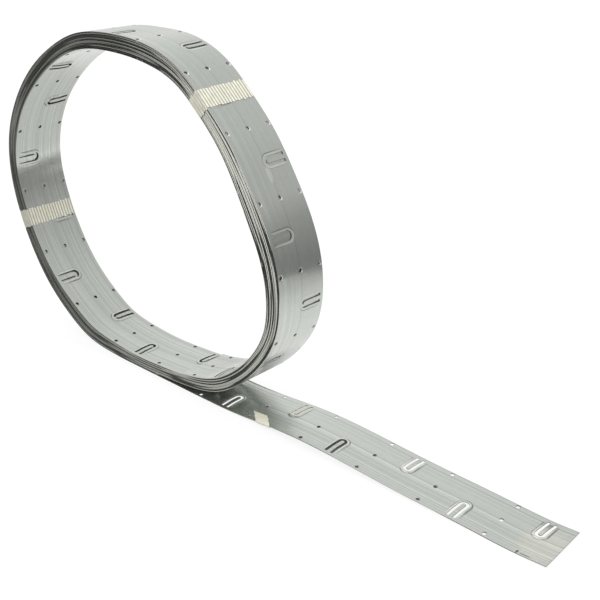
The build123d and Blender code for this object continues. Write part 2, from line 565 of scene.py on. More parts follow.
def with_height(flat, height=0.0, shade=0.0):
    """Adds columns of height and shade to places on the flat strip: 1 is painted shade, -1 a painted
    highlight.
    """
    count = len(flat)
    return np.column_stack([flat, np.broadcast_to(height, count), np.broadcast_to(shade, count)])


def row_cell(strip, press=1.0, painted_glint=0.0):
    """Half a pitch of strip with a row of three holes, whose rims rise towards the bore.

    A grid of lines along and across loses the square patch round each hole, and gets rings instead that
    change from the square to the circle. The rims get a painted glint on one side, by the square of a cosine.
    """
    along, across = lines_along(strip), lines_across(strip)
    flat = grid_places(along, across)
    quads = grid_quads(len(along), len(across))
    middle = flat[quads].mean(axis=1)
    holes = mirrored([strip.half_width - strip.hole_margin])
    near_line = np.abs(middle[:, :1]) < strip.hole_margin
    near_hole = np.abs(middle[:, 1:] - holes) < strip.hole_margin
    quads = quads[~(near_line & near_hole).any(axis=1)]

    angles = np.arange(HOLE_STEPS) * 2 * math.pi / HOLE_STEPS
    circle = np.stack([np.cos(angles), np.sin(angles)], axis=1)
    square = strip.hole_margin * circle / np.abs(circle).max(axis=1, keepdims=True)
    share = np.linspace(0, 1, 5)
    rings = square * (1 - share)[:, None, None] + strip.hole_radius * circle * share[:, None, None]
    ring_quads = grid_quads(len(share), len(angles), wrapped=True)
    rise = press * strip.hole_dimple * np.repeat(smooth_step(0.4, 1.1, share), len(angles))
    # Painted glint on the side of each rim that lies further along and towards the far edge.
    bright = np.maximum(np.cos(angles - math.pi / 4), 0) ** 2
    shade = -painted_glint * np.multiply.outer(smooth_step(0.3, 0.7, share), bright).ravel()
    patches = [(with_height(rings.reshape(-1, 2) + (0, hole), rise, shade), ring_quads) for hole in holes]
    return joined([(with_height(flat), quads), *patches])


def bead_rise(strip, flat):
    """Share of the bead's height at places round a tongue that is rooted at the far edge.

    It is 1 from the tongue to the end of the bead's crown, falls to 0 at the bead's foot by a smooth step
    of the distance from the tongue's axis, and fades out towards the root.
    """
    slot = strip.tongue_width / 2 + strip.slot_width
    root = strip.half_width - strip.hole_margin
    reach = np.hypot(flat[:, 0], np.minimum(flat[:, 1] - tongue_tip(strip), 0))
    rise = 1 - smooth_step(slot + BEAD_CROWN * strip.bead_width, slot + strip.bead_width, reach)
    return rise * smooth_step(0, strip.tongue_length / 2, root - flat[:, 1])


def tongue_cell(strip, press=1.0):
    """Half a pitch of strip with a tongue rooted at its far edge.

    Rings at growing reach from the tongue's axis run down one limb, round the tip and up the other limb.
    The innermost ring bounds the tongue and the next one is the far side of the slot. The outer rings
    change to the cell's own outline. A bead rises outside the slot and fades out at the root. Its crown
    has a painted highlight and the crease at its foot has painted shade.
    """
    along, across = lines_along(strip), lines_across(strip)
    root = strip.half_width - strip.hole_margin
    tip = tongue_tip(strip)
    tongue = strip.tongue_width / 2
    slot = tongue + strip.slot_width
    bead = slot + strip.bead_width * BEAD_RINGS

    sides = across[across <= root + WELD][::-1]
    sole = along[along > 0][::-1][1:]
    side_line = np.stack([np.full(len(sides), along[-1]), sides], axis=1)
    sole_line = np.stack([sole, np.full(len(sole), -strip.half_width)], axis=1)
    border = np.concatenate([side_line, sole_line])
    limb = border[:, 1] >= tip - WELD
    bend = np.where(limb, 0, np.arange(len(border)) - limb.sum() + 1)
    angles = math.pi / 2 * bend / (bend.max() + 0.5)
    axis = np.stack([np.zeros(len(border)), np.where(limb, border[:, 1], tip)], axis=1)
    out = np.stack([np.cos(angles), -np.sin(angles)], axis=1)

    reaches = np.array([*bead, bead[-1] + strip.slot_width / 2])
    rings = axis + out * reaches[:, None, None]
    share = np.linspace(0, 1, 4)[1:, None, None]
    rings = np.concatenate([rings, rings[-1] * (1 - share) + border * share])
    loops = np.concatenate([rings, rings[:, ::-1] * (-1, 1)], axis=1)
    collar_quads = grid_quads(loops.shape[0], loops.shape[1])

    edge = axis + out * tongue
    blade = edge[:, None, :] * np.stack([np.linspace(1, -1, 5), np.ones(5)], axis=1)
    blade_quads = grid_quads(len(edge), 5)

    limbs = rings[:, 0, 0]
    root_along = np.concatenate([-limbs[::-1], np.sort(blade[0, :, 0]), limbs])
    root_across = across[across >= root - WELD]
    bridge_quads = grid_quads(len(root_along), len(root_across))

    def beaded(flat):
        reach = np.hypot(flat[:, 0], np.minimum(flat[:, 1] - tip, 0))
        # Painted highlight on the bead's crown and painted shade in the crease at its foot.
        shade = np.interp(reach, slot + strip.bead_width * BEAD_PAINTED_SHADE[:, 0], BEAD_PAINTED_SHADE[:, 1])
        shade = np.where(reach < slot - WELD, 0, shade)
        shade = shade * smooth_step(0, strip.tongue_length / 5, root - flat[:, 1])
        return with_height(flat, press * strip.bead_height * bead_rise(strip, flat), shade)

    return joined(
        [
            (beaded(loops.reshape(-1, 2)), collar_quads),
            (beaded(blade.reshape(-1, 2)), blade_quads),
            (with_height(grid_places(root_along, root_across)), bridge_quads),
        ]
    )


def plain_cell(strip, start, end, across):
    """Unpunched strip between two places along it, in steps of about a tenth of a pitch."""
    along = np.linspace(start, end, max(2, math.ceil((end - start) * 10 / strip.row_pitch) + 1))
    return with_height(grid_places(along, across)), grid_quads(len(along), len(across))


def repeated(cell, places, side):
    """Copies of a cell at places along the strip; side -1 turns it to the near edge."""
    flat, quads = cell
    places = np.asarray(places)
    copies = flat * (1, side, 1, 1) + np.multiply.outer(places, (1, 0, 0, 0))[:, None, :]
    numbers = quads + (np.arange(len(places)) * len(flat))[:, None, None]
    return copies.reshape(-1, 4), numbers.reshape(-1, 4)


def punched_run(strip, first_row, rows, first_side, press=1.0, painted_glint=0.0):
    """A run of rows with a tongue after each one, rooted at the two edges by turns, and a painted glint on
    the hole rims by the last share.
    """
    places = first_row + strip.row_pitch * np.arange(rows)
    tongues = places + strip.row_pitch / 2
    tongue = tongue_cell(strip, press)
    return [
        repeated(row_cell(strip, press, painted_glint), places, 1),
        repeated(tongue, tongues[0::2], first_side),
        repeated(tongue, tongues[1::2], -first_side),
    ]


def shell(sheet, thickness):
    """Both faces of a sheet and the walls round its open edges: places, quads and which are walls.

    The thickness is one number, or an array with a number for each place.
    """
    flat, quads = sheet
    corners = flat[quads][:, :, :2]
    first, second = corners[:, 2] - corners[:, 0], corners[:, 3] - corners[:, 1]
    turned = first[:, 0] * second[:, 1] - first[:, 1] * second[:, 0] > 0
    quads = np.where(turned[:, None], quads[:, ::-1], quads)
    edges = quads[:, [0, 1, 1, 2, 2, 3, 3, 0]].reshape(-1, 2)
    _, where, times = np.unique(np.sort(edges, axis=1), axis=0, return_index=True, return_counts=True)
    rim = edges[where[times == 1]]
    count = len(flat)
    walls = np.stack([rim[:, 1], rim[:, 0], rim[:, 0] + count, rim[:, 1] + count], axis=1)
    raise_by = np.multiply.outer(np.broadcast_to(thickness / 2, count), (0, 0, 1, 0))
    places = np.concatenate([flat + raise_by, flat - raise_by])
    faces = np.concatenate([quads, quads[:, ::-1] + count, walls])
    is_wall = np.arange(len(faces)) >= 2 * len(quads)
    return places, faces, is_wall


def make_piece(name, places, faces, uv, values, material, node):
    """A mesh object from whole arrays, with a flat UV map in metres, riding on the coil's only body."""
    places = leaned(places, bpy.context.scene.coil_strip)
    mesh = bpy.data.meshes.new(name)
    mesh.from_pydata(places.tolist(), [], faces.tolist())
    layer = mesh.uv_layers.new(name="strip")
    layer.data.foreach_set("uv", uv[faces.ravel()].astype(np.float32).ravel())
    for label, (domain, numbers) in values.items():
        attribute = mesh.attributes.new(label, "FLOAT", domain)
        attribute.data.foreach_set("value", np.asarray(numbers, dtype=np.float32))
    mesh.polygons.foreach_set("use_smooth", np.ones(len(faces), dtype=bool))
    mesh.set_sharp_from_angle(angle=math.radians(40))
    mesh.materials.append(material)
    mesh.update()
    piece = bpy.data.objects.new(name, mesh)
    bpy.context.scene.collection.objects.link(piece)
    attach(piece, "root")
    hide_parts(node)


def make_strip_piece(name, path, sheet, thickness, material):
    """A stretch of the wound strip from its flat sheet."""
    flat, faces, is_wall = shell(sheet, thickness)
    turn = np.interp(flat[:, 0], path["run"], path["turned"])
    # The shade attribute holds painted shade above 0 and painted highlights below 0.
    values = {"cut_edge": ("FACE", is_wall), "turn": ("POINT", turn), "shade": ("POINT", flat[:, 3])}
    places = on_strip(path, flat)
    make_piece(name, places, faces, flat[:, :2], values, material, "strip_coil")


def node_adder(tree):
    """A function that adds a node of a kind to a tree; numbers set its sockets and sockets are linked.

    Inputs are named, or numbered after an underscore. A Mix node with a blend kind mixes colours.
    """

    def add(kind, operation=None, **inputs):
        node = tree.nodes.new(kind)
        if operation and kind == "ShaderNodeMix":
            node.data_type = "RGBA"
            node.blend_type = operation
        elif operation:
            node.operation = operation
        for label, value in inputs.items():
            socket = node.inputs[int(label[1:]) if label[1:].isdigit() else label]
            if isinstance(value, bpy.types.NodeSocket):
                tree.links.new(value, socket)
            else:
                socket.default_value = value
        return node

    return add


def new_material(name):
    """A node material with its shader, its tree and a function that adds nodes to it."""
    material = bpy.data.materials.new(name)
    material.use_nodes = True
    tree = material.node_tree
    return material, tree.nodes["Principled BSDF"], tree, node_adder(tree)


def maths(add, operation, first, second=0.0):
    """Output of a Math node."""
    return add("ShaderNodeMath", operation, _0=first, _1=second).outputs[0]


def mixed(add, kind, share, first, second):
    """Output of a colour Mix node of a blend kind, from two colours with alpha or sockets and a share."""
    return add("ShaderNodeMix", kind, _0=share, _6=first, _7=second).outputs[2]


def ranged(add, value, reach, to):
    """Output of a Map Range node, from a pair of limits to another pair."""
    low, high = reach
    to_low, to_high = to
    return add("ShaderNodeMapRange", _0=value, _1=low, _2=high, _3=to_low, _4=to_high).outputs[0]


def noise(add, place, scale, detail):
    """Output of a Noise Texture node."""
    return add("ShaderNodeTexNoise", Vector=place, Scale=scale, Detail=detail).outputs[0]


def along_way(add, place, way):
    """Output that is a place's distance along a way from the origin, times the way's own length."""
    return add("ShaderNodeVectorMath", "DOT_PRODUCT", _0=place, _1=way).outputs["Value"]


def mesh_value(add, name):
    """Output of one of the mesh's own attributes."""
    node = add("ShaderNodeAttribute")
    node.attribute_name = name
    return node.outputs["Fac"]


def flat_place(add):
    """Output of a piece's place on the flat strip, in metres, from its UV map."""
    node = add("ShaderNodeUVMap")
    node.uv_map = "strip"
    return node.outputs[0]


def ragged_patch(add, flat, mark):
    """Output that is 1 inside a ragged ellipse on the flat strip and 0 outside it."""
    centre, reach = mark
    ragged = noise(add, flat, 500.0, 3.0)
    away = add("ShaderNodeVectorMath", "SUBTRACT", _0=flat, _1=(*centre, 0)).outputs[0]
    away = add("ShaderNodeVectorMath", "DIVIDE", _0=away, _1=(*reach, 1)).outputs[0]
    away = add("ShaderNodeVectorMath", "LENGTH", _0=away).outputs["Value"]
    return ranged(add, maths(add, "ADD", away, ragged), (1.1, 1.5), (1.0, 0.0))


def roll_lines(add, flat):
    """Output of noise that is drawn out along the strip, the sum of fine and broad lines."""
    fine = add("ShaderNodeMapping", Vector=flat, Scale=(0.7, 900, 1)).outputs[0]
    broad = add("ShaderNodeMapping", Vector=flat, Scale=(0.5, 260, 1)).outputs[0]
    return maths(add, "ADD", noise(add, fine, 1.0, 2.0), noise(add, broad, 1.0, 2.0))


def face_colour(add, finish, flat, lines, turn):
    """Output of the colour of the strip's faces.

    Steel is multiplied by roll lines, faint spangle, a scored centre line and a paler tail. The roll lines
    are clear on the tail and in the bore, and faint on the other turns. Marks are laid over that: a stain,
    a tear and the painted shade of a crease.
    """
    place = add("ShaderNodeSeparateXYZ", Vector=flat).outputs
    tone = ranged(add, lines, (0.75, 1.25), (-0.17, 0.12))
    on_tail = ranged(add, place[0], (0.28, 0.4), (1.4, 0.4))
    in_bore = ranged(add, turn, (10.0, 10.5), (0.4, 1.0))
    clear = maths(add, "MAXIMUM", on_tail, in_bore)
    tone = add("ShaderNodeMath", "MULTIPLY_ADD", _0=tone, _1=clear, _2=1.0).outputs[0]
    spangle = ranged(add, noise(add, flat, 170.0, 4.0), (0.3, 0.7), (0.98, 1.02))
    score = ranged(add, maths(add, "ABSOLUTE", place[1]), (0.12 * MM, 0.4 * MM), (0.82, 1.0))
    paler = ranged(add, place[0], (0.2, 0.35), (1.08, 1.0))
    for change in (spangle, score, paler):
        tone = maths(add, "MULTIPLY", tone, change)
    colour = mixed(add, "MULTIPLY", 1.0, (*finish.steel, 1), tone)
    for mark, tint in (
        (STAIN, (1.13, 1.085, 1.05, 1)),
        (TEAR, (0.25, 0.25, 0.25, 1)),
        # Painted shade in a crease by the tail's torn near edge.
        (CREASE_SHADE, (0.35, 0.35, 0.33, 1)),
    ):
        colour = mixed(add, "MULTIPLY", ragged_patch(add, flat, mark), colour, tint)
    return colour


def cut_edge_colour(add, finish, turn):
    """Output of the colour of the strip's cut edges.

    Each turn's edge has painted highlights or painted shade by stretches. Fewer of them are highlighted on
    the left and below the middle, and those are dimmer.
    """
    object_place = add("ShaderNodeTexCoord").outputs["Object"]
    spot = add("ShaderNodeSeparateXYZ", Vector=object_place).outputs
    stretches_per_metre, layers_per_turn = 14.0, 0.7
    by_turn = add(
        "ShaderNodeCombineXYZ",
        X=maths(add, "MULTIPLY", spot[0], stretches_per_metre),
        Y=maths(add, "MULTIPLY", turn, layers_per_turn),
        Z=maths(add, "MULTIPLY", spot[2], stretches_per_metre),
    ).outputs[0]
    rightward = along_way(add, object_place, (1, 0, -0.5))
    left_side = (-0.13, 0.0)
    dim_below = ranged(add, spot[2], (0.135, 0.175), (0.45, 0.28))
    dim_left = ranged(add, rightward, left_side, (0.46, 0.28))
    dim = maths(add, "MAXIMUM", dim_below, dim_left)
    light = ranged(add, maths(add, "SUBTRACT", noise(add, by_turn, 1.0, 0.0), dim), (0.0, 0.09), (0.0, 1.0))
    light = maths(add, "MULTIPLY", light, ranged(add, rightward, left_side, (0.24, 1.0)))
    light = maths(add, "MULTIPLY", light, ranged(add, spot[2], (0.0, 0.175), (0.48, 1.0)))
    # Mix of the painted shade and the painted highlight of the cut edges.
    return mixed(add, "MIX", light, (*finish.edge_dark, 1), (*finish.edge_light, 1))


def galvanised_finish(finish):
    """Galvanised steel with painted shade in creases, painted highlights on rims and bead crowns, and cut
    edges.

    The tail is stained near its end and torn at its near edge, and the outermost turn is scuffed below a
    tongue. Painted highlights are less like metal than the faces, and cut edges are duller.
    """
    material, shader, tree, add = new_material("galvanised_steel")
    flat = flat_place(add)
    lines = roll_lines(add, flat)
    turn = mesh_value(add, "turn")
    shade = mesh_value(add, "shade")
    edge = mesh_value(add, "cut_edge")
    face = face_colour(add, finish, flat, lines, turn)
    # Painted shade in the creases, where the shade attribute is above 0.
    dark = ranged(add, shade, (0.0, 1.0), (0.0, 0.55))
    face = mixed(add, "MULTIPLY", dark, face, (0.1, 0.1, 0.1, 1))
    # Painted highlight on rims and bead crowns, where the shade attribute is below 0.
    bright = ranged(add, shade, (-1.0, 0.0), (1.0, 0.0))
    face = mixed(add, "MIX", bright, face, (*finish.edge_light, 1))
    face = mixed(add, "SCREEN", ragged_patch(add, flat, SCUFF), face, (0.35, 0.35, 0.35, 1))
    colour = mixed(add, "MIX", edge, face, cut_edge_colour(add, finish, turn))
    rough = ranged(add, lines, (0.75, 1.25), (finish.roughness + 0.05, finish.roughness - 0.03))
    rough = maths(add, "MINIMUM", maths(add, "ADD", rough, edge), 0.5)
    bump = add("ShaderNodeBump", Strength=0.04, Distance=0.1 * MM, Height=lines)
    tree.links.new(colour, shader.inputs["Base Color"])
    tree.links.new(rough, shader.inputs["Roughness"])
    tree.links.new(bump.outputs[0], shader.inputs["Normal"])
    # Less like metal where the painted highlight is, so that it shows pale.
    tree.links.new(ranged(add, bright, (0.0, 1.0), (0.88, 0.1)), shader.inputs["Metallic"])
    return material


def tape_finish(finish):
    """Cream ribbed tape: pale ribs, darker clear film between them and faint mottling."""
    material, shader, tree, add = new_material("ribbed_tape")
    cloud = noise(add, flat_place(add), 260.0, 4.0)
    share = ranged(add, mesh_value(add, "rib"), (0.05, 0.55), (0.0, 1.0))
    colour = mixed(add, "MIX", share, (*finish.groove, 1), (*finish.rib, 1))
    colour = mixed(add, "MULTIPLY", 1.0, colour, ranged(add, cloud, (0.3, 0.7), (0.86, 1.06)))
    bump = add("ShaderNodeBump", Strength=0.15, Distance=0.1 * MM, Height=cloud)
    tree.links.new(colour, shader.inputs["Base Color"])
    tree.links.new(bump.outputs[0], shader.inputs["Normal"])
    shader.inputs["Roughness"].default_value = 0.38
    return material


def tape_material(finish):
    """The tape's one material, made once and shared by all its pieces."""
    return bpy.data.materials.get("ribbed_tape") or tape_finish(finish)


class COIL_OT_strip(Operator):
    """Winds the punched strip: its tail and outermost turn, the hidden turns and the turn in the bore."""

    bl_idname = "coil.strip"
    bl_label = "Wind strip"

    def execute(self, context):
        strip = context.scene.coil_strip
        material = galvanised_finish(context.scene.coil_finish)
        path = wind_strip(strip)
        outer, coil_end = self.outer_run(strip, path)
        inner, bore_start = self.inner_run(strip, path, context.scene.coil_tape)
        make_strip_piece("strip_tail_and_outer_turn", path, outer, strip.thickness, material)
        make_strip_piece("strip_inner_turn", path, inner, strip.thickness, material)
        middle = plain_cell(strip, coil_end, bore_start, mirrored([strip.half_width]))
        edges = np.abs(middle[0][:, 1]) / strip.half_width
        upset = strip.thickness + 2 * strip.edge_burr * edges
        make_strip_piece("strip_middle_turns", path, middle, upset, material)
        return {"FINISHED"}

    def outer_run(self, strip, path):
        """Flat sheet of the tail and the outermost turn, with its slanted tip, and the place of its end."""
        across = lines_across(strip)
        quarter = strip.row_pitch / 4
        starts = path["turn_starts"]
        tongue_start = strip.tail_first_tongue - quarter
        first_row = strip.tail_first_tongue + strip.row_pitch / 2
        tail_rows = math.floor((starts[0] + quarter - first_row) / strip.row_pitch) + 1
        tail_end = first_row + tail_rows * strip.row_pitch - quarter
        coil_row = starts[0] + strip.coil_first_row
        coil_rows = math.ceil((starts[1] - coil_row) / strip.row_pitch)
        coil_end = coil_row + coil_rows * strip.row_pitch - quarter
        tail_tip = plain_cell(strip, 0, tongue_start, across)
        short = strip.end_slant * (tail_tip[0][:, 1] / strip.half_width + 1) / 2
        tail_tip[0][:, 0] += short * (1 - tail_tip[0][:, 0] / tongue_start)
        outer = joined(
            [
                tail_tip,
                repeated(tongue_cell(strip), [strip.tail_first_tongue], 1),
                *punched_run(strip, first_row, tail_rows, -1),
                plain_cell(strip, tail_end, coil_row - quarter, across),
                # The outermost turn's hole rims get a full painted glint.
                *punched_run(strip, coil_row, coil_rows, 1, strip.wound_press, 1.0),
            ]
        )
        return outer, coil_end

    def inner_run(self, strip, path, tape):
        """Flat sheet of the turn in the bore, pressed flat under the left band, and the place of its start.

        Its first rows lie stretched, and the others are placed from the strip's inner end.
        """
        quarter = strip.row_pitch / 4
        end = path["run"][-1]
        bore_run = joined(
            [
                repeated(tongue_cell(strip), [-strip.row_pitch / 2], 1),
                *punched_run(strip, 0, BORE_ROWS, -1),
            ]
        )
        first_row = path["turn_starts"][-1] - strip.bore_first_row
        bore_run[0][:, 0] = first_row + bore_run[0][:, 0] * strip.bore_stretch
        bore_start, bore_end = bore_run[0][:, 0].min(), bore_run[0][:, 0].max()
        end_first = end - strip.end_row - END_ROWS * strip.row_pitch
        end_side = 1 - 2 * (END_ROWS % 2)
        inner = joined(
            [
                bore_run,
                plain_cell(strip, bore_end, end_first - quarter, lines_across(strip)),
                *punched_run(strip, end_first, END_ROWS, end_side),
                repeated(row_cell(strip), [end - strip.end_row], 1),
            ]
        )
        inner[0][:, 0] = np.minimum(inner[0][:, 0], end)
        low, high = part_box("tape_band_left")
        in_bore = path["turned"] > strip.turns - 1
        from_tape = np.hypot(*(path["line"] - ((low.x + high.x) / 2, (low.z + high.z) / 2)).T)
        tape_run = path["run"][in_bore][np.argmin(from_tape[in_bore])]
        cover = np.abs(inner[0][:, 0] - tape_run) / tape.width
        inner[0][:, 2:] *= smooth_step(0.5, 0.8, cover)[:, None]
        return inner, bore_start


class COIL_OT_tape_bands(Operator):
    """Wraps the two bands of ribbed tape round the wound pack."""

    bl_idname = "coil.tape_bands"
    bl_label = "Wrap tape bands"

    def execute(self, context):
        strip, tape = context.scene.coil_strip, context.scene.coil_tape
        material = tape_material(context.scene.coil_finish)
        for name, clear in (("tape_band_upper", tape.upper_clear), ("tape_band_left", tape.left_clear)):
            low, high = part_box(name)
            self.wrap(name, (low + high) / 2, strip, tape, clear, material)
        return {"FINISHED"}

    def section(self, strip, tape, depth):
        """Section of a sleeve round a pack of a depth: places across it and shares into it, and normals.

        It is a rectangle from the middle of the outer face and round, and its corners are rounded by taking
        the mean of each place and its neighbours. Normals are the steps between neighbours, turned outwards.
        """
        reach = strip.half_width + tape.slack
        corners = np.array([(0, 0), (-reach, 0), (-reach, 1), (reach, 1), (reach, 0), (0, 0)])
        lengths = np.hypot(np.diff(corners[:, 0]), np.diff(corners[:, 1]) * depth)
        places = np.concatenate([[0], np.cumsum(lengths)])
        count = round(places[-1] / tape.rib_pitch) * RIB_STEPS
        round_it = np.arange(count) / count * places[-1]
        neighbours = range(-4, 5)
        side = np.interp(round_it, places, corners[:, 0])
        side = np.mean([np.roll(side, shift) for shift in neighbours], axis=0)
        into = np.interp(round_it, places, corners[:, 1])
        into = np.mean([np.roll(into, shift) for shift in neighbours], axis=0)
        side_step = np.roll(side, -1) - np.roll(side, 1)
        into_step = (np.roll(into, -1) - np.roll(into, 1)) * depth
        size = np.hypot(side_step, into_step)
        out_side, out_into = -into_step / size, side_step / size
        swing = np.sign(np.mean(out_side * side + out_into * (into - 0.5)))
        return side, into, swing * out_side, swing * out_into

    def wrap(self, name, middle, strip, tape, clear, material):
        """A ribbed sleeve: the section round the pack, carried along the turns.

        Ribs are waves round the section, raised along its normals, and the two ends wander from rib to rib.
        """
        sweep = np.arange(0, smooth_curve(OUTLINE, closed=True)[1], 0.5 * MM)
        face, normals, depth = coil_face(sweep)
        centre_line = face + normals * depth[:, None] / 2
        nearest = np.argmin(np.hypot(centre_line[:, 0] - middle.x, centre_line[:, 1] - middle.z))
        side, into, out_side, out_into = self.section(strip, tape, depth[nearest] + 2 * tape.slack)
        count = len(side)
        rib_place = count // RIB_STEPS * (np.arange(count) / count)
        wave = 0.5 + 0.5 * np.cos(2 * math.pi * rib_place)
        rib = np.round(rib_place)
        wander = tape.fray * np.sin(12.9 * rib + 4.1 * np.sin(5.3 * rib))

        share = np.linspace(-1, 1, BAND_STEPS)[:, None]
        along = tape.width / 2 * share + wander * np.abs(share) ** 3 * np.sign(share)
        along = (sweep[nearest] + tape.lead + along).ravel()
        face, normals, depth = coil_face(along)
        depth = depth.reshape(BAND_STEPS, count)
        places = []
        for rise in (tape.thickness + tape.rib_height * wave, 0 * wave):
            inwards = -tape.slack + into * (depth + 2 * tape.slack) + out_into * rise
            points = face + normals * inwards.ravel()[:, None]
            sideways = np.tile(side + out_side * rise, BAND_STEPS)
            places.append(np.column_stack([points[:, 0], sideways, points[:, 1]]))

        under = BAND_STEPS * count
        outside = grid_quads(BAND_STEPS, count, wrapped=True)
        inside = outside[:, ::-1] + under
        ring = np.arange(count)
        after = (ring + 1) % count
        low_end = np.stack([after, ring, ring + under, after + under], axis=1)
        high_end = low_end[:, ::-1] + (BAND_STEPS - 1) * count
        faces = np.concatenate([outside, inside, low_end, high_end])
        around = np.arange(count) * tape.rib_pitch / RIB_STEPS
        uv = np.column_stack([along, np.tile(around, BAND_STEPS)])
        on_ends = np.abs(out_side) > 0.7
        rib_share = np.where(on_ends, (1 - clear) * (0.4 + 0.6 * wave), wave)
        values = {"rib": ("POINT", np.tile(rib_share, 2 * BAND_STEPS))}
        places = np.concatenate(places)
        uv = np.concatenate([uv, uv])
        make_piece(name + "_ribbed", places, faces, uv, values, material, name)


class COIL_OT_tape_scrap(Operator):
    """Lays the torn scrap of tape over the near edge of the tail, and the film left under a tongue."""

    bl_idname = "coil.tape_scrap"
    bl_label = "Lay tape scrap"

    def execute(self, context):
        strip, tape = context.scene.coil_strip, context.scene.coil_tape
        material = tape_material(context.scene.coil_finish)
        path = wind_strip(strip)
        sheet, rib = self.scrap(strip, tape)
        self.lay("tape_scrap_torn", path, sheet, rib, tape, material)
        sheet, rib = self.film(strip, tape)
        self.lay("tape_film_under_tongue", path, sheet, rib, tape, material)
        return {"FINISHED"}

    def lay(self, name, path, sheet, rib, tape, material):
        """A piece of torn tape from its sheet on the flat strip and the share of rib colour at each place."""
        flat, faces, _ = shell(sheet, tape.thickness)
        values = {"rib": ("POINT", np.concatenate([rib, rib]))}
        places = on_strip(path, flat)
        make_piece(name, places, faces, flat[:, :2], values, material, "tape_scrap")

    def film(self, strip, tape):
        """A ragged oblong of tape that follows the underside of the strip round a tongue."""
        place = strip.tail_first_tongue + (tape.film_tongue - 1) * strip.row_pitch
        root = strip.half_width - strip.hole_margin
        near = root - strip.tongue_length - strip.bead_width / 2
        across = np.linspace(near, root + strip.hole_margin / 2, 41)
        side = np.linspace(-1, 1, 21)
        torn = tape.fray * np.sin(23 * across / strip.half_width)
        flat = grid_places(side, across)
        flat[:, 0] = np.multiply.outer(side, tape.film_width / 2 + torn).ravel()
        under = (strip.thickness + tape.thickness + tape.slack) / 2
        height = strip.bead_height * bead_rise(strip, flat) - under
        sheet = with_height(flat + (place, 0), height), grid_quads(len(side), len(across))
        return sheet, np.ones(len(flat))

    def scrap(self, strip, tape):
        """A slanted oblong that runs in from the near edge and folds down over it, with torn sides.

        Its sides wander by a sine, most at the very edge, and a product of sines crumples it.
        """
        lift = strip.thickness / 2 + tape.slack + tape.thickness
        edge = -strip.half_width - tape.slack - tape.thickness
        foot = (edge - tape.scrap_flare, lift - tape.scrap_lip)
        fold = np.array([(tape.scrap_depth - strip.half_width, lift), (edge, lift), foot])
        places = np.concatenate([[0], np.cumsum(np.hypot(*np.diff(fold, axis=0).T))])
        down = np.linspace(0, places[-1], 41)
        side = np.linspace(-1, 1, 31)
        flat = grid_places(side, np.interp(down, places, fold[:, 0]))
        lean = tape.scrap_slant * (1 - down / places[1])
        torn = tape.fray * np.sin(31 * down / places[-1] + 2 * np.sin(47 * down / places[-1]))
        along = tape.scrap_place + tape.scrap_width / 2 * side[:, None] + lean
        flat[:, 0] = (along + torn * (np.abs(side) ** 4)[:, None]).ravel()
        crumple = tape.crumple * np.sin(5 * side)[:, None] * np.sin(900 * down)
        flat = with_height(flat, (np.interp(down, places, fold[:, 1]) + crumple).ravel())
        rib = 0.75 + 0.35 * np.cos(2 * math.pi * flat[:, 1] / tape.rib_pitch)
        return (flat, grid_quads(len(side), len(down))), rib


